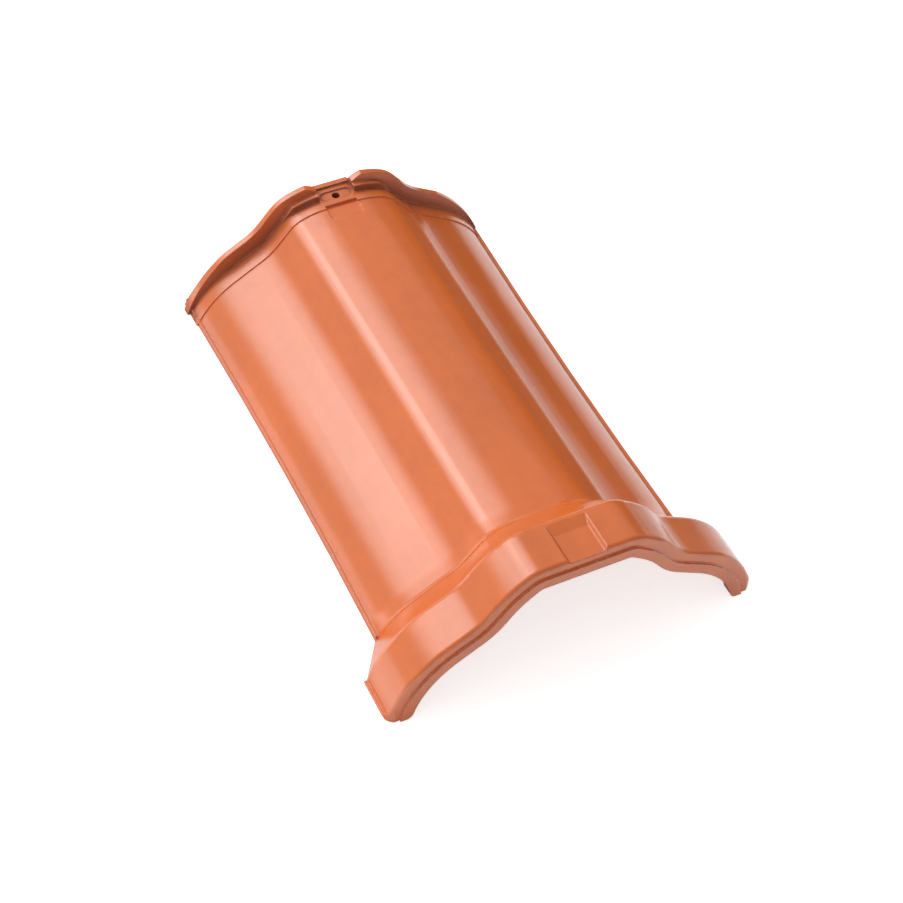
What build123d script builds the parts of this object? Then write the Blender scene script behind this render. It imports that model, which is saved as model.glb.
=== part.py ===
from build123d import *
import os
from math import radians, sin, tan

# Length of the whole tile from the front lip to the head end
overall_length = 425.0

# Outer outline of the body, given by the corners that its bends round off
crown_half = 23.0
crown_height = 83.0
shoulder_half = 39.6
shoulder_height = 77.0
flute_half = 59.6
flute_height = 52.8
wing_half = 128.8
wing_height = 12.5
crown_radius = 60.0
shoulder_radius = 22.0
flute_radius = 58.0
wing_radius = 80.0

# How far the same corners of the collar lie outside and above those of the body
collar_crown_reach = 16.0
collar_crown_lift = 27.4
collar_shoulder_reach = 21.4
collar_shoulder_lift = 17.4
collar_flute_reach = 16.8
collar_flute_lift = 21.3
collar_wing_reach = 11.8
collar_wing_lift = 24.5
collar_crown_radius = 25.0
collar_shoulder_radius = 80.0
collar_flute_radius = 36.0
collar_wing_radius = 87.0

# Lean of the flanks at the feet in degrees
foot_draft = 2.9

# Clay thickness, and the slight waist at mid-length with the number of straight strips that follow it
body_wall = 13.0
collar_wall = 11.0
waist_draw = 4.0
waist_strips = 4

# Lengths of the collar and of the sloped riser behind it, with their soft edges
collar_length = 37.0
riser_length = 30.5
front_round = 3.0
riser_bend = 5.0

# Lip around the mouth of the collar, seen below the front edge of its wall
lip_reveal = 9.0
lip_height = 8.3
lip_depth = 9.0
lip_proud = 1.5

# Flat recess for the ridge clamp on the crown of the collar
clamp_half = 12.8
clamp_depth = 2.4
clamp_slope = 2.2
clamp_land = 2.0
clamp_ramp = 9.0

# Weather rib across the head, open at the crown, stepped over the shoulders and rounded down to the feet
rib_setback = 5.0
rib_height = 11.2
rib_foot = 7.6
rib_top = 4.7
rib_full_half = 80.0
rib_end_radius = 104.0
rib_end_inset = 28.0
rib_end_drop = 36.0
rib_gap_half = 14.5
rib_gap_round = 27.0
rib_gap_bend = 30.0
rib_step_depth = 2.9
rib_step_height = 5.5
rib_step_radius = 50.5
rib_step_drop = 34.5
end_lip_length = 4.4
end_lip_height = 1.5

# Seat band in front of the rib, the shallow notch in its edge and the dished fixing hole
band_length = 13.5
band_rise = 0.9
notch_half = 13.0
notch_length = 11.5
notch_reach = 2.8
notch_depth = 1.3
hole_diameter = 6.5
hole_from_head = 14.0
dish_width = 26.0
dish_length = 10.4
dish_depth = 1.0

# Bead along the outside of each foot, and the rounding of the feet and of the front corners in plan
bead_width = 2.2
bead_height = 5.5
foot_outer_round = 4.5
foot_inner_round = 5.0
mouth_inner_round = 7.0
corner_round = 12.0

# How deep an added bead or rib is rooted in the wall that carries it
root = 6.0

# How close two curves lie where they count as one, and the halfway point of an edge
near = 0.02
middle = 0.5

# How far the outlines and the rounded feet run on below the floor line before they are cut off level
foot_below = 60.0
foot_trim = 0.5

# How far every cut runs past the face that it opens
overrun = 12.0

# Stations along the tile
front_y = -overall_length / 2
head_y = overall_length / 2
wall_front_y = front_y + lip_proud
lip_back_y = front_y + lip_depth
riser_top_y = front_y + collar_length
riser_base_y = riser_top_y + riser_length
rib_back_y = head_y - rib_setback
rib_y = rib_back_y - rib_foot
band_y = rib_y - band_length

# Corners of half an outline from the crown to the wing, with the radii of its four bends
body = [(0.0, crown_height), (crown_half, crown_height), (shoulder_half, shoulder_height),
        (flute_half, flute_height), (wing_half, wing_height)]
body_radii = crown_radius, shoulder_radius, flute_radius, wing_radius
collar_top = crown_height + collar_crown_lift
collar = [(0.0, collar_top), (crown_half + collar_crown_reach, collar_top),
          (shoulder_half + collar_shoulder_reach, shoulder_height + collar_shoulder_lift),
          (flute_half + collar_flute_reach, flute_height + collar_flute_lift),
          (wing_half + collar_wing_reach, wing_height + collar_wing_lift)]
collar_radii = collar_crown_radius, collar_shoulder_radius, collar_flute_radius, collar_wing_radius


def waist(y):
    """Width of the body at y as a factor of its width at the ends."""
    along = 2 * y / overall_length
    return 1 - waist_draw / wing_half * (1 - along * along)


def bent(points, radii):
    """Straight runs through the points, joined by tangent arcs of the given radii."""
    edges = []
    start = points[0]
    for before, corner, after, radius in zip(points, points[1:], points[2:], radii):
        back = (before - corner).normalized()
        on = (after - corner).normalized()
        half_angle = radians(back.get_angle(on) / 2)
        reach = radius / tan(half_angle)
        top_of_arc = corner + (back + on).normalized() * (radius / sin(half_angle) - radius)
        edges.append(Line(start, corner + back * reach))
        edges.append(ThreePointArc(corner + back * reach, top_of_arc, corner + on * reach))
        start = corner + on * reach
    edges.append(Line(start, points[-1]))
    return edges


def outline(shape, y, grow, factor=1.0):
    """Edges of an arched outline at y, moved outward by grow, from left foot to right foot."""
    half, radii = (body, body_radii) if shape == "body" else (collar, collar_radii)
    wing_x, wing_z = half[-1]
    foot = wing_x + (wing_z + foot_below) * tan(radians(foot_draft)), -foot_below
    right = [Vector(x * factor, 0, z * factor) for x, z in half + [foot]]
    runs = [(b - a).normalized() for a, b in zip(right, right[1:])]
    normals = [Vector(-run.Z, 0, run.X) for run in runs]
    corners = []
    for corner, n, m in zip(right[1:-1], normals, normals[1:]):
        corners.append(corner + (n + m) * (grow / (1 + n.dot(m))))
    end = right[-1] + normals[-1] * grow
    corners.append(end + runs[-1] * ((-foot_below - end.Z) / runs[-1].Z))
    crown, shoulder, flute, wing = (radius * factor for radius in radii)
    bends = [crown + grow, shoulder + grow, flute - grow, wing + grow]
    points = [Vector(-p.X, y, p.Z) for p in reversed(corners)] + [Vector(p.X, y, p.Z) for p in corners]
    return bent(points, bends[::-1] + bends)


def arch(shape, y, outer_grow, inner_grow, factor=1.0, outer_round=0.0, inner_round=0.0):
    """Face between two outlines at y, cut level just below the floor, with its feet rounded."""
    outer = outline(shape, y, outer_grow, factor)
    inner = outline(shape, y, inner_grow, factor)
    feet = [Line(outer[0] @ 0, inner[0] @ 0), Line(outer[-1] @ 1, inner[-1] @ 1)]
    face = Face(Wire(outer + inner + feet))
    below = Rectangle(4 * side, foot_below + overrun, align=(Align.CENTER, Align.MAX))
    face = (face - Plane.XZ.offset(-y) * Pos(0, -foot_trim) * below).faces()[0]
    for radius, place in [(outer_round, -1), (inner_round, 0)]:
        if radius:
            ground = [v for v in face.vertices() if abs(v.Z + foot_trim) < near]
            reach = sorted(abs(v.X) for v in ground)[place]
            face = fillet([v for v in ground if abs(abs(v.X) - reach) < near], radius).faces()[0]
    return face


def straight(shape, y0, y1, outer_grow, inner_grow, factor=1.0, outer_round=0.0, inner_round=0.0):
    """Arched band of constant section from y0 to y1."""
    face = arch(shape, y0, outer_grow, inner_grow, factor, outer_round, inner_round)
    return extrude(face, amount=y1 - y0, dir=(0, 1, 0))


def slab(x0, x1, y0, y1, z0, z1):
    """Block between two opposite corners."""
    block = Box(x1 - x0, y1 - y0, z1 - z0, align=(Align.MIN, Align.MIN, Align.MIN))
    return Pos(x0, y0, z0) * block


def softened(solid, radius, shape, y, factor=1.0):
    """Solid with its edge along the outer outline at y rounded."""
    along = Wire(outline(shape, y, 0.0, factor))
    edges = [e for e in solid.edges() if along.distance_to(e @ 0) < near and
             along.distance_to(e @ middle) < near and along.distance_to(e @ 1) < near]
    return solid.fillet(radius, edges)


side = wing_half + collar_wing_reach + bead_width + overrun
top = collar_top + overrun
head_factor = waist(band_y)
across = Plane.XZ.offset(-head_y)

# Body: one arched wall drawn through the waist, then the seat band and the head end
strip_length = (band_y - riser_base_y) / waist_strips
stations = [riser_base_y + strip_length * strip for strip in range(waist_strips + 1)]
tile = loft([arch("body", y, 0.0, -body_wall, waist(y), inner_round=foot_inner_round) for y in stations],
            ruled=True)
tile += straight("body", band_y, head_y, band_rise, -body_wall, head_factor, inner_round=foot_inner_round)

# Collar: sloped riser, then a wider wall that thickens to the lip around its mouth
riser = [arch("body", riser_base_y, 0.0, -body_wall, waist(riser_base_y), inner_round=foot_inner_round),
         arch("collar", riser_top_y, 0.0, -collar_wall, inner_round=foot_inner_round)]
tile += loft(riser, ruled=True)
face_depth = lip_reveal + lip_height
tile += straight("collar", lip_back_y, riser_top_y, 0.0, -collar_wall, inner_round=foot_inner_round)
tile += straight("collar", wall_front_y, lip_back_y, 0.0, -face_depth, inner_round=mouth_inner_round)
tile += straight("collar", front_y, wall_front_y, -lip_reveal, -face_depth, inner_round=mouth_inner_round)

# Soft edges along the mouth and at both ends of the riser
tile = softened(tile, front_round, "collar", wall_front_y)
tile = softened(tile, riser_bend, "collar", riser_top_y)
tile = softened(tile, riser_bend, "body", riser_base_y, waist(riser_base_y))

# Beads along the outside of the feet of the body and the collar
beads = loft([arch("body", y, bead_width, -root, waist(y), outer_round=foot_outer_round) for y in stations],
             ruled=True)
beads += straight("body", band_y, head_y, bead_width, -root, head_factor, outer_round=foot_outer_round)
beads += straight("collar", wall_front_y, riser_top_y, bead_width, -root, outer_round=foot_outer_round)
tile += beads & slab(-side, side, front_y, head_y, -foot_below, bead_height)

# Weather rib with a leaning face, its step over the shoulders, and the low lip in its gap
rib = loft([arch("body", rib_y, 0.0, -root, head_factor),
            arch("body", rib_back_y - rib_top, rib_height, -root, head_factor)], ruled=True)
rib += straight("body", rib_back_y - rib_top, rib_back_y, rib_height, -root, head_factor)
step = straight("body", rib_y - rib_step_depth, rib_back_y, rib_step_height, -root, head_factor)
step_limit = Pos(0, crown_height - rib_step_drop) * Circle(rib_step_radius)
rib += step & extrude(across * step_limit, amount=head_y - band_y)
rib -= slab(-rib_gap_half, rib_gap_half, band_y, head_y, 0.0, top)
head_crown = crown_height * head_factor
rib_limit = Sketch()
for turn in (-1, 1):
    between = Rectangle(rib_full_half - rib_gap_bend, 2 * top)
    rib_limit += Pos(turn * (rib_gap_bend + rib_full_half) / 2, 0) * between
    rib_limit += Pos(turn * rib_gap_bend, head_crown + rib_height - rib_gap_round) * Circle(rib_gap_round)
    rib_limit += Pos(turn * rib_end_inset, -rib_end_drop) * Circle(rib_end_radius)
rib &= extrude(across * rib_limit, amount=head_y - band_y)
end_lip_top = head_crown + band_rise + end_lip_height
tile += rib
tile += slab(-rib_gap_half, rib_gap_half, head_y - end_lip_length, head_y, end_lip_top - root, end_lip_top)

# The feet are cut off level at the floor line
tile -= slab(-side, side, front_y - overrun, head_y + overrun, -foot_below, 0.0)

# The two front corners are rounded in plan
foot_x = tile.bounding_box().max.X
plan = fillet(Rectangle(2 * foot_x, overall_length).vertices().group_by(Axis.Y)[0], corner_round)
tile &= extrude(plan, amount=top)

# Level recess for the ridge clamp, open at the front, with sloping sides and a ramp at its back
recess_floor = collar_top - clamp_depth
recess_half = clamp_half + clamp_slope
recess = make_face(Polyline((-clamp_half, recess_floor), (clamp_half, recess_floor),
                            (recess_half, collar_top), (recess_half, top),
                            (-recess_half, top), (-recess_half, collar_top), close=True))
clamp_back_y = riser_top_y - clamp_land
ramp = make_face(Polyline((front_y - overrun, recess_floor), (clamp_back_y - clamp_ramp, recess_floor),
                          (clamp_back_y, collar_top), (clamp_back_y, top),
                          (front_y - overrun, top), close=True))
ramp = extrude(Plane.YZ * ramp, amount=side, both=True)
tile -= extrude(across * recess, amount=overall_length + overrun) & ramp

# Shallow notch in the crown, cut a little way into the seat band
notch_floor = head_crown - notch_depth
tile -= slab(-notch_half, notch_half, band_y - notch_length, band_y + notch_reach, notch_floor, top)

# Fixing hole in its dish
hole_y = head_y - hole_from_head
dish_floor = head_crown + band_rise - dish_depth
tile -= Pos(0, hole_y, dish_floor) * extrude(SlotOverall(dish_width, dish_length), amount=top)
tile -= Pos(0, hole_y, 0) * Cylinder(hole_diameter / 2, top, align=(Align.CENTER, Align.CENTER, Align.MIN))

os.makedirs("parts", exist_ok=True)
export_step(tile, "parts/ridge_tile.step")
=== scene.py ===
"""Clay ridge tile with a satin engobe, on a pale studio floor."""

import math

import bpy
from mathutils import Matrix, Vector

bl_info = {
    "name": "Clay ridge tile",
    "version": (1, 0, 0),
    "blender": (4, 5, 0),
    "location": "3D View > Sidebar > Ridge Tile",
    "description": "Engobed finish and studio stage for a pressed clay ridge tile",
    "category": "Object",
}

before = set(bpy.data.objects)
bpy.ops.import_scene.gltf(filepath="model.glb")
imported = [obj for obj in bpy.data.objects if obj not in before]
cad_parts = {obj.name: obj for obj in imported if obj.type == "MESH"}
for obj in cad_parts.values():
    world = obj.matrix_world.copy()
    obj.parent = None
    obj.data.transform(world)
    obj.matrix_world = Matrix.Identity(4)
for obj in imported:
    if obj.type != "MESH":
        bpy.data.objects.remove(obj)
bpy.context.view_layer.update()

TILE_NODE = "ridge_tile"

WHITE = (1.0, 1.0, 1.0, 1.0)
FLOOR_COLOUR = (0.93, 0.93, 0.93, 1.0)

# How far the floor lies under the feet, so that the two never share a plane, in metres
FLOOR_DROP = 0.0002

# Where the key lamp, the bright side and the dark side of the room lie, seen from the tile
KEY_DIRECTION = (-0.41, 0.58, 0.705)
BRIGHT_DIRECTION = (-0.45, 0.90, 0.0)
SHADE_DIRECTION = (0.63, 0.75, 0.17)

# Over which cosines to those directions the light of the room changes
KEY_SPREAD = (0.85, 0.995)
BRIGHT_SPREAD = (-0.9, 0.9)
SHADE_SPREAD = (0.895, 0.965)

# Shares of the room light away from its bright side and towards it
DIM_SHARE, BRIGHT_SHARE = 0.50, 1.42

# Soft lamps: name, direction seen from the tile, distance, width and height, power, colour
LAMPS = (
    ("key_lamp", KEY_DIRECTION, 3.0, (0.8, 0.8), 3.0, (1.0, 0.99, 0.98)),
    ("front_fill", (0.05, -1.0, 0.10), 1.6, (1.6, 0.3), 1.6, (1.0, 0.97, 0.98)),
)

# Where the floor comes clear of the tile's own shade, from and to in metres, and how much of
# the floor's shine shows on each side
CLEAR_RIGHT_X, RIGHT_SHARE = (0.115, 0.135), 0.8
CLEAR_LEFT_X, LEFT_SHARE = (-0.14, -0.17), 2.0
CLEAR_FRONT_Y = (-0.20, -0.24)
FAR_RIGHT_X = (0.36, 0.14)

# Sizes of the patterns in the clay, in metres, and how far the streaks are drawn out along it
STREAK_SIZE = 0.022
STREAK_SQUEEZE = 0.12
CLOUD_SIZE = 0.11
MOTTLE_SIZE = 0.012
PIT_SPACING = 0.006
WAVE_SIZE = 0.035
WAVE_DEPTH, WAVE_STRENGTH = 0.0004, 0.35

# Upward slope of the surface over which the engobe begins, and how ragged its limit is
ENGOBE_FACING = (-0.30, -0.10)
ENGOBE_RAGGED = 0.35

# Edges that handling wears: how wide, and the bend of the surface over which the wear comes in
WEAR_RADIUS = 0.0022
WEAR_BEND = (0.995, 0.90)

# Painted shade at the foot of the weather rib, darker where the surface is closed in, and dull
# there too: how far round a point it looks, how open to the air the point is, and where along the
# tile it begins
RIB_SHADE_REACH = 0.030
RIB_SHADE_OPEN = (0.95, 0.60)
RIB_SHADE_Y = (0.1885, 0.1915)
RIB_SHADE_MOST = 0.95

# Front edge of the seat band, which is crisper than the other edges
SEAT_EDGE_Y, SEAT_EDGE_END_Y = (0.1830, 0.1840), (0.1895, 0.1885)
SEAT_EDGE_CRISP = 0.75

# Right flank of the body, where the engobe is dull
FLANK_X = (0.061, 0.055)
FLANK_LEAN = (0.05, 0.50)
FLANK_Y = (-0.155, -0.145)
FLANK_MOST = 0.80
DULL_ROUGHNESS = 0.95

# Where the crown and the right flute fall away in the relief, and where along the tile it begins
CROWN_FALL_X = (0.002, -0.029)
FLUTE_FALL_X = (0.055, 0.078)
FALL_Y = (-0.15, -0.13)

# Refraction of the engobe, and its usual specular level
ENGOBE_IOR = 1.7
ENGOBE_SPECULAR = 0.5

# Samples of the nodes that look round a point
WEAR_SAMPLES, RIB_SHADE_SAMPLES, EDGE_SAMPLES = 6, 8, 8

# Sensor width, in millimetres, that the lens length refers to, and how near and far the camera
# sees, in metres
SENSOR_WIDTH = 36.0
NEAREST, FARTHEST = 0.05, 50.0


class TileFinishSettings(bpy.types.PropertyGroup):
    """Finish of the fired clay"""

    engobe_colour: bpy.props.FloatVectorProperty(
        name="Engobe colour",
        description="Main colour of the satin engobe on the upper side",
        subtype="COLOR",
        size=3,
        min=0.0,
        max=1.0,
        default=(0.77, 0.160, 0.022),
    )
    # The deep colour also shows, darkened, as painted shade at the weather rib; its spots are the
    # engobe's own
    engobe_deep_and_shade_colour: bpy.props.FloatVectorProperty(
        name="Deep engobe colour",
        description="Colour where the engobe lies thick, in spots and at the weather rib",
        subtype="COLOR",
        size=3,
        min=0.0,
        max=1.0,
        default=(0.50, 0.105, 0.032),
    )
    clay_colour: bpy.props.FloatVectorProperty(
        name="Bare clay colour",
        description="Colour of the fired clay on the underside and on worn edges",
        subtype="COLOR",
        size=3,
        min=0.0,
        max=1.0,
        default=(0.66, 0.235, 0.160),
    )
    engobe_roughness: bpy.props.FloatProperty(
        name="Engobe roughness",
        description="Roughness of the satin surface",
        subtype="FACTOR",
        min=0.0,
        max=1.0,
        default=0.14,
    )
    clay_roughness: bpy.props.FloatProperty(
        name="Bare clay roughness",
        description="Roughness of the unglazed clay",
        subtype="FACTOR",
        min=0.0,
        max=1.0,
        default=0.82,
    )
    edge_softness: bpy.props.FloatProperty(
        name="Edge softness",
        description="Radius of the pressed edges",
        subtype="DISTANCE",
        unit="LENGTH",
        min=0.0,
        max=0.003,
        default=0.0012,
    )
    grain_size: bpy.props.FloatProperty(
        name="Grain size",
        description="Size of the fine grain of the fired surface",
        subtype="DISTANCE",
        unit="LENGTH",
        min=0.0002,
        max=0.01,
        default=0.0011,
    )
    grain_depth: bpy.props.FloatProperty(
        name="Grain depth",
        description="Depth of the fine grain",
        subtype="DISTANCE",
        unit="LENGTH",
        min=0.0,
        max=0.001,
        default=0.000025,
    )
    crown_dome: bpy.props.FloatProperty(
        name="Crown dome",
        description="How far the left edge of the crown falls away in the relief",
        subtype="DISTANCE",
        unit="LENGTH",
        min=0.0,
        max=0.005,
        default=0.0022,
    )
    flute_fall: bpy.props.FloatProperty(
        name="Flute fall",
        description="How far the outer side of the right flute falls away in the relief",
        subtype="DISTANCE",
        unit="LENGTH",
        min=0.0,
        max=0.005,
        default=0.0014,
    )


class StageSettings(bpy.types.PropertyGroup):
    """Camera, floor and room light"""

    camera_aim: bpy.props.FloatVectorProperty(
        name="Camera aim",
        description="Point that the camera looks at",
        subtype="XYZ",
        unit="LENGTH",
        size=3,
        default=(-0.00779, -0.02869, 0.02478),
    )
    camera_azimuth: bpy.props.FloatProperty(
        name="Camera azimuth",
        description="Direction of view round the tile, 0 along +Y",
        subtype="ANGLE",
        unit="ROTATION",
        default=math.radians(-28.210),
    )
    camera_elevation: bpy.props.FloatProperty(
        name="Camera elevation",
        description="Height of the camera above the horizon",
        subtype="ANGLE",
        unit="ROTATION",
        default=math.radians(48.955),
    )
    camera_roll: bpy.props.FloatProperty(
        name="Camera roll",
        description="Turn of the camera about its own line of sight",
        subtype="ANGLE",
        unit="ROTATION",
        default=math.radians(3.407),
    )
    camera_distance: bpy.props.FloatProperty(
        name="Camera distance",
        description="Distance from the camera to its aim",
        subtype="DISTANCE",
        unit="LENGTH",
        min=0.2,
        default=1.5821,
    )
    camera_lens: bpy.props.FloatProperty(
        name="Camera lens",
        description="Focal length in millimetres",
        min=10.0,
        default=86.64,
    )
    floor_size: bpy.props.FloatProperty(
        name="Floor size",
        description="Side of the square floor",
        subtype="DISTANCE",
        unit="LENGTH",
        default=1.3,
    )
    floor_glow: bpy.props.FloatProperty(
        name="Floor glow",
        description="Light that the floor itself shows to the camera",
        min=0.0,
        default=0.70,
    )
    floor_shine: bpy.props.FloatProperty(
        name="Floor shine",
        description="Light that the floor beyond the tile's own shade shows in reflections",
        min=0.0,
        default=0.50,
    )
    sky_strength: bpy.props.FloatProperty(
        name="Room light",
        description="Strength of the even light of the room",
        min=0.0,
        default=0.60,
    )
    key_glow: bpy.props.FloatProperty(
        name="Key glow",
        description="Strength of the soft light round the key lamp",
        min=0.0,
        default=2.9,
    )
    shade_strength: bpy.props.FloatProperty(
        name="Dark side of the room",
        description="Share of the room light that is left on its dark side, low at the back right",
        min=0.0,
        default=0.12,
    )


class Nodes:
    """Small helper that lays out a node tree."""

    def __init__(self, tree):
        self.tree = tree
        tree.nodes.clear()

    def add(self, kind, inputs=None, **values):
        """New node of a kind, with its properties and its inputs set or linked."""
        node = self.tree.nodes.new(kind)
        for name, value in values.items():
            setattr(node, name, value)
        for name, value in (inputs or {}).items():
            socket = node.inputs[name]
            if isinstance(value, bpy.types.NodeSocket):
                self.tree.links.new(value, socket)
            else:
                socket.default_value = value
        return node

    def noise(self, vector, size, detail=3.0, roughness=0.55):
        """Noise whose features are about size metres across."""
        inputs = {
            "Vector": vector,
            "Scale": 1.0 / size,
            "Detail": detail,
            "Roughness": roughness,
        }
        return self.add("ShaderNodeTexNoise", inputs).outputs["Fac"]

    def ramp(self, value, low, high, to_low=0.0, to_high=1.0):
        """Smooth step of value from low..high to to_low..to_high."""
        inputs = {
            "Value": value,
            "From Min": low,
            "From Max": high,
            "To Min": to_low,
            "To Max": to_high,
        }
        node = self.add("ShaderNodeMapRange", inputs, interpolation_type="SMOOTHSTEP")
        return node.outputs["Result"]

    def along(self, vector, direction):
        """Cosine of the angle between vector and direction."""
        return self.dot(vector, Vector(direction).normalized())

    def dot(self, first, second):
        """Dot product of two vectors."""
        inputs = {0: first, 1: second}
        return self.add("ShaderNodeVectorMath", inputs, operation="DOT_PRODUCT").outputs["Value"]

    def math(self, operation, first, second, third=0.0, clamp=False):
        """Result of one operation on two or three numbers."""
        inputs = {0: first, 1: second, 2: third}
        node = self.add("ShaderNodeMath", inputs, operation=operation, use_clamp=clamp)
        return node.outputs[0]

    def times(self, first, second):
        """Product of two numbers."""
        return self.math("MULTIPLY", first, second)

    def between(self, factor, first, second):
        """Number from first to second by factor."""
        inputs = {0: factor, 2: first, 3: second}
        return self.add("ShaderNodeMix", inputs, data_type="FLOAT").outputs[0]

    def mix(self, factor, first, second):
        """Colour from first to second by factor."""
        inputs = {0: factor, 6: first, 7: second}
        return self.add("ShaderNodeMix", inputs, data_type="RGBA").outputs[2]

    def bump(self, height, depth, normal, strength=1.0):
        """Normal with a relief whose height of 1 is depth metres."""
        inputs = {"Strength": strength, "Distance": depth, "Height": height, "Normal": normal}
        return self.add("ShaderNodeBump", inputs).outputs[0]


def rgba(colour, gain=1.0):
    """Colour with an alpha of 1, made lighter or darker by gain."""
    return (colour[0] * gain, colour[1] * gain, colour[2] * gain, 1.0)


def engobed_clay(settings):
    """Satin engobe over the upper side, bare fired clay underneath and on worn edges."""
    material = bpy.data.materials.new("engobed_clay")
    material.use_nodes = True
    n = Nodes(material.node_tree)
    place = n.add("ShaderNodeTexCoord").outputs["Object"]
    at = n.add("ShaderNodeSeparateXYZ", {0: place}).outputs
    flat_normal = n.add("ShaderNodeNewGeometry").outputs["Normal"]
    leans = n.add("ShaderNodeSeparateXYZ", {0: flat_normal}).outputs

    # Patterns; the streaks follow the pressing direction, as the place is squeezed along the tile
    squeezed = {"Vector": place, "Scale": (1.0, STREAK_SQUEEZE, 1.0)}
    drawn_out = n.add("ShaderNodeMapping", squeezed).outputs[0]
    streaks = n.noise(drawn_out, STREAK_SIZE)
    waves = n.noise(drawn_out, WAVE_SIZE, detail=2.0)
    clouds = n.noise(place, CLOUD_SIZE)
    mottle = n.noise(place, MOTTLE_SIZE, detail=5.0, roughness=0.6)
    grain = n.noise(place, settings.grain_size, roughness=0.7)
    cells = {"Vector": place, "Scale": 1.0 / PIT_SPACING}
    specks = n.add("ShaderNodeTexVoronoi", cells).outputs["Distance"]

    # Where the engobe lies: on what faces upward, broken at the lower rims
    ragged = n.math("MULTIPLY_ADD", mottle, ENGOBE_RAGGED, -ENGOBE_RAGGED / 2)
    engobe = n.ramp(n.math("ADD", leans["Z"], ragged), *ENGOBE_FACING)

    # Where handling has worn the edges a little
    rims = n.add("ShaderNodeBevel", {"Radius": WEAR_RADIUS}, samples=WEAR_SAMPLES).outputs[0]
    edge = n.ramp(n.dot(rims, flat_normal), *WEAR_BEND)
    wear = n.times(edge, n.ramp(mottle, 0.38, 0.62))

    # Painted shade at the foot of the weather rib, where the surface is closed in; the same mask
    # makes it dull
    reach = {"Distance": RIB_SHADE_REACH}
    open_air = n.add("ShaderNodeAmbientOcclusion", reach, samples=RIB_SHADE_SAMPLES).outputs["AO"]
    rib_painted_shade = n.times(n.ramp(open_air, *RIB_SHADE_OPEN, 0.0, RIB_SHADE_MOST), n.ramp(at["Y"], *RIB_SHADE_Y))

    # Where the right flank of the body is dull
    flank = n.times(n.ramp(at["X"], *FLANK_X), n.ramp(leans["X"], *FLANK_LEAN))
    flank = n.times(flank, n.ramp(at["Y"], *FLANK_Y, 0.0, FLANK_MOST))

    # Colours
    engobe_colour = settings.engobe_colour
    deep_and_shade_colour = settings.engobe_deep_and_shade_colour
    clay_colour = settings.clay_colour
    tone = n.math("MULTIPLY_ADD", clouds, 0.55, n.times(streaks, 0.45))
    pale, strong = rgba(engobe_colour, 0.93), rgba(engobe_colour, 1.06)
    glaze = n.mix(n.ramp(tone, 0.36, 0.66), pale, strong)
    glaze = n.mix(n.ramp(mottle, 0.30, 0.72, 0.0, 0.16), glaze, rgba(deep_and_shade_colour))
    glaze = n.mix(n.ramp(grain, 0.35, 0.75, 0.0, 0.10), glaze, rgba(clay_colour))
    # Painted shade at the weather rib: the deep colour, darkened, where the surface is closed in
    glaze = n.mix(rib_painted_shade, glaze, rgba(deep_and_shade_colour, 0.62))
    pale, strong = rgba(clay_colour, 0.92), rgba(clay_colour, 1.08)
    clay = n.mix(n.ramp(clouds, 0.35, 0.65), pale, strong)
    clay = n.mix(n.ramp(grain, 0.40, 0.80, 0.0, 0.30), clay, rgba(clay_colour, 0.6))
    colour = n.mix(engobe, clay, glaze)
    colour = n.mix(n.times(wear, 0.55), colour, rgba(clay_colour, 1.18))
    pits = n.times(n.ramp(specks, 0.10, 0.055), n.ramp(mottle, 0.52, 0.64, 0.0, 0.5))
    colour = n.mix(pits, colour, rgba(clay_colour, 0.35))

    # Gloss
    satin = n.math("MULTIPLY_ADD", mottle, 0.10, settings.engobe_roughness - 0.05)
    rough = n.between(engobe, settings.clay_roughness, satin)
    rough = n.math("ADD", rough, n.times(wear, 0.18), clamp=True)
    # Dull on the right flank, and where the rib's painted shade lies
    rough = n.between(n.math("MAXIMUM", flank, rib_painted_shade), rough, DULL_ROUGHNESS)
    specular = n.math("MULTIPLY_ADD", flank, -ENGOBE_SPECULAR, ENGOBE_SPECULAR)

    # Relief: soft edges, the fall of the crown and flute, slow waves and the fine grain
    seat_edge = n.times(n.ramp(at["Y"], *SEAT_EDGE_Y), n.ramp(at["Y"], *SEAT_EDGE_END_Y))
    softness = settings.edge_softness
    radius = n.math("MULTIPLY_ADD", seat_edge, -SEAT_EDGE_CRISP * softness, softness)
    rounded = n.add("ShaderNodeBevel", {"Radius": radius}, samples=EDGE_SAMPLES).outputs[0]
    crown = n.ramp(at["X"], *CROWN_FALL_X, 0.0, -settings.crown_dome)
    flute = n.ramp(at["X"], *FLUTE_FALL_X, 0.0, -settings.flute_fall)
    fall = n.times(n.math("ADD", crown, flute), n.ramp(at["Y"], *FALL_Y))
    relief = n.bump(fall, 1.0, rounded)
    relief = n.bump(waves, WAVE_DEPTH, relief, WAVE_STRENGTH)
    relief = n.bump(grain, settings.grain_depth, relief)

    inputs = {
        "Base Color": colour,
        "Roughness": rough,
        "IOR": ENGOBE_IOR,
        "Specular IOR Level": specular,
        "Normal": relief,
    }
    shader = n.add("ShaderNodeBsdfPrincipled", inputs)
    n.add("ShaderNodeOutputMaterial", {"Surface": shader.outputs[0]})
    return material


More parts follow.
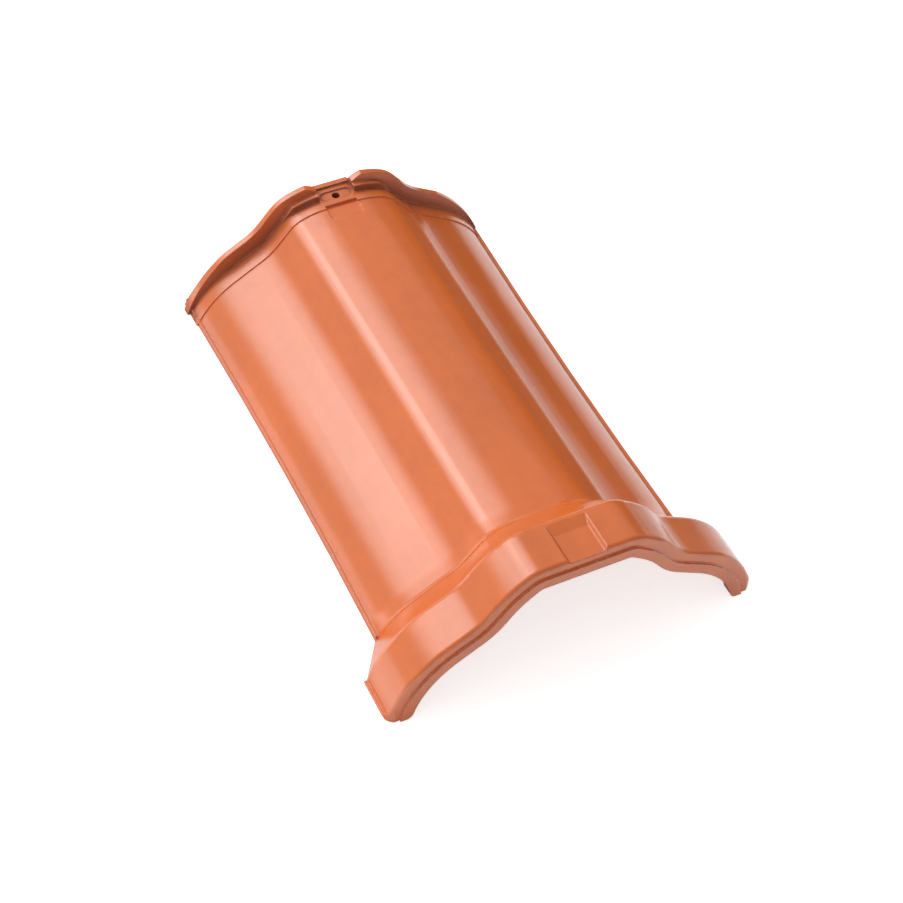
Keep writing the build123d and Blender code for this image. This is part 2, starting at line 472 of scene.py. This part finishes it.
def pale_floor(settings):
    """White floor that stays white to the camera and keeps the tile's soft shadow."""
    material = bpy.data.materials.new("pale_floor")
    material.use_nodes = True
    n = Nodes(material.node_tree)
    ray = n.add("ShaderNodeLightPath").outputs
    place = n.add("ShaderNodeTexCoord").outputs["Object"]
    at = n.add("ShaderNodeSeparateXYZ", {0: place}).outputs
    shine = settings.floor_shine
    right = n.ramp(at["X"], *CLEAR_RIGHT_X, 0.0, shine * RIGHT_SHARE)
    right = n.times(right, n.ramp(at["X"], *FAR_RIGHT_X))
    left = n.ramp(at["X"], *CLEAR_LEFT_X, 0.0, shine * LEFT_SHARE)
    front = n.ramp(at["Y"], *CLEAR_FRONT_Y, 0.0, shine)
    clear = n.math("MAXIMUM", n.math("MAXIMUM", right, left), front)
    mirrored = n.times(ray["Is Glossy Ray"], clear)
    seen = n.times(ray["Is Camera Ray"], settings.floor_glow)
    strength = n.math("ADD", seen, mirrored)
    matt = n.add("ShaderNodeBsdfDiffuse", {"Color": FLOOR_COLOUR})
    glow = n.add("ShaderNodeEmission", {"Color": WHITE, "Strength": strength})
    both = n.add("ShaderNodeAddShader", {0: matt.outputs[0], 1: glow.outputs[0]})
    n.add("ShaderNodeOutputMaterial", {"Surface": both.outputs[0]})
    return material


def studio_room(settings):
    """Room light: white to the camera, brighter at the back left, dark low at the back right."""
    room = bpy.data.worlds.new("room")
    room.use_nodes = True
    n = Nodes(room.node_tree)
    towards = n.add("ShaderNodeTexCoord").outputs["Generated"]
    sky = settings.sky_strength
    bright_side = n.along(towards, BRIGHT_DIRECTION)
    base = n.ramp(bright_side, *BRIGHT_SPREAD, sky * DIM_SHARE, sky * BRIGHT_SHARE)
    dark_side = n.along(towards, SHADE_DIRECTION)
    lit = n.ramp(dark_side, *SHADE_SPREAD, 1.0, settings.shade_strength)
    key_side = n.along(towards, KEY_DIRECTION)
    glow = n.ramp(key_side, *KEY_SPREAD, 0.0, settings.key_glow)
    light = n.math("ADD", n.times(base, lit), glow)
    lighting = n.add("ShaderNodeBackground", {"Color": WHITE, "Strength": light}).outputs[0]
    white = n.add("ShaderNodeBackground", {"Color": WHITE, "Strength": 1.0}).outputs[0]
    to_camera = n.add("ShaderNodeLightPath").outputs["Is Camera Ray"]
    seen = n.add("ShaderNodeMixShader", {0: to_camera, 1: lighting, 2: white})
    n.add("ShaderNodeOutputWorld", {"Surface": seen.outputs[0]})
    return room


class TILE_OT_finish(bpy.types.Operator):
    """Give the ridge tile its engobed finish"""

    bl_idname = "tile.finish"
    bl_label = "Finish Ridge Tile"
    bl_options = {"REGISTER", "UNDO"}

    def execute(self, context):
        settings = context.scene.tile_finish
        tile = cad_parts[TILE_NODE]
        tile.data.materials.clear()
        tile.data.materials.append(engobed_clay(settings))
        return {"FINISHED"}


def photo_camera(settings):
    """Camera at the photograph's viewing angle."""
    azimuth, elevation = settings.camera_azimuth, settings.camera_elevation
    back = Vector(
        (
            math.sin(azimuth) * math.cos(elevation),
            -math.cos(azimuth) * math.cos(elevation),
            math.sin(elevation),
        )
    )
    level = Vector((math.cos(azimuth), math.sin(azimuth), 0.0))
    upright = back.cross(level)
    roll = settings.camera_roll
    right = level * math.cos(roll) + upright * math.sin(roll)
    up = back.cross(right)
    data = bpy.data.cameras.new("photo_camera")
    data.sensor_width = SENSOR_WIDTH
    data.lens = settings.camera_lens
    data.clip_start, data.clip_end = NEAREST, FARTHEST
    camera = bpy.data.objects.new("photo_camera", data)
    bpy.context.scene.collection.objects.link(camera)
    turn = Matrix((right, up, back)).transposed().to_4x4()
    eye = Vector(settings.camera_aim) + back * settings.camera_distance
    camera.matrix_world = Matrix.Translation(eye) @ turn
    bpy.context.scene.camera = camera


def soft_lamp(name, towards, distance, size, power, colour):
    """Rectangular lamp seen from the tile in the direction towards, facing the tile."""
    data = bpy.data.lights.new(name, "AREA")
    data.shape = "RECTANGLE"
    data.size, data.size_y = size
    data.energy = power
    data.color = colour
    lamp = bpy.data.objects.new(name, data)
    bpy.context.scene.collection.objects.link(lamp)
    direction = Vector(towards).normalized()
    lamp.location = direction * distance
    lamp.rotation_euler = (-direction).to_track_quat("-Z", "Y").to_euler()


class TILE_OT_stage(bpy.types.Operator):
    """Set up the pale floor, the soft lamps, the room light and the camera"""

    bl_idname = "tile.stage"
    bl_label = "Set Up Stage"
    bl_options = {"REGISTER", "UNDO"}

    def execute(self, context):
        settings = context.scene.tile_stage
        scene = context.scene
        scene.view_settings.view_transform = "Standard"

        half = settings.floor_size / 2
        signs = ((-1, -1), (1, -1), (1, 1), (-1, 1))
        corners = [(x * half, y * half, -FLOOR_DROP) for x, y in signs]
        mesh = bpy.data.meshes.new("floor")
        mesh.from_pydata(corners, [], [(0, 1, 2, 3)])
        floor = bpy.data.objects.new("floor", mesh)
        scene.collection.objects.link(floor)
        mesh.materials.append(pale_floor(settings))

        scene.world = studio_room(settings)
        for lamp in LAMPS:
            soft_lamp(*lamp)
        photo_camera(settings)
        return {"FINISHED"}


class TILE_PT_panel(bpy.types.Panel):
    """Sizes, colours and steps of the ridge tile"""

    bl_label = "Ridge Tile"
    bl_idname = "TILE_PT_panel"
    bl_space_type = "VIEW_3D"
    bl_region_type = "UI"
    bl_category = "Ridge Tile"

    def draw(self, context):
        for title, group, step in (
            ("Finish", context.scene.tile_finish, TILE_OT_finish),
            ("Stage", context.scene.tile_stage, TILE_OT_stage),
        ):
            box = self.layout.box()
            box.label(text=title)
            for name in group.bl_rna.properties.keys():
                if name not in ("rna_type", "name"):
                    box.prop(group, name)
            box.operator(step.bl_idname)


CLASSES = (TileFinishSettings, StageSettings, TILE_OT_finish, TILE_OT_stage, TILE_PT_panel)


def register():
    for cls in CLASSES:
        bpy.utils.register_class(cls)
    bpy.types.Scene.tile_finish = bpy.props.PointerProperty(type=TileFinishSettings)
    bpy.types.Scene.tile_stage = bpy.props.PointerProperty(type=StageSettings)


def unregister():
    del bpy.types.Scene.tile_stage
    del bpy.types.Scene.tile_finish
    for cls in reversed(CLASSES):
        bpy.utils.unregister_class(cls)


def main():
    register()
    bpy.ops.tile.finish()
    bpy.ops.tile.stage()


if __name__ == "__main__":
    main()
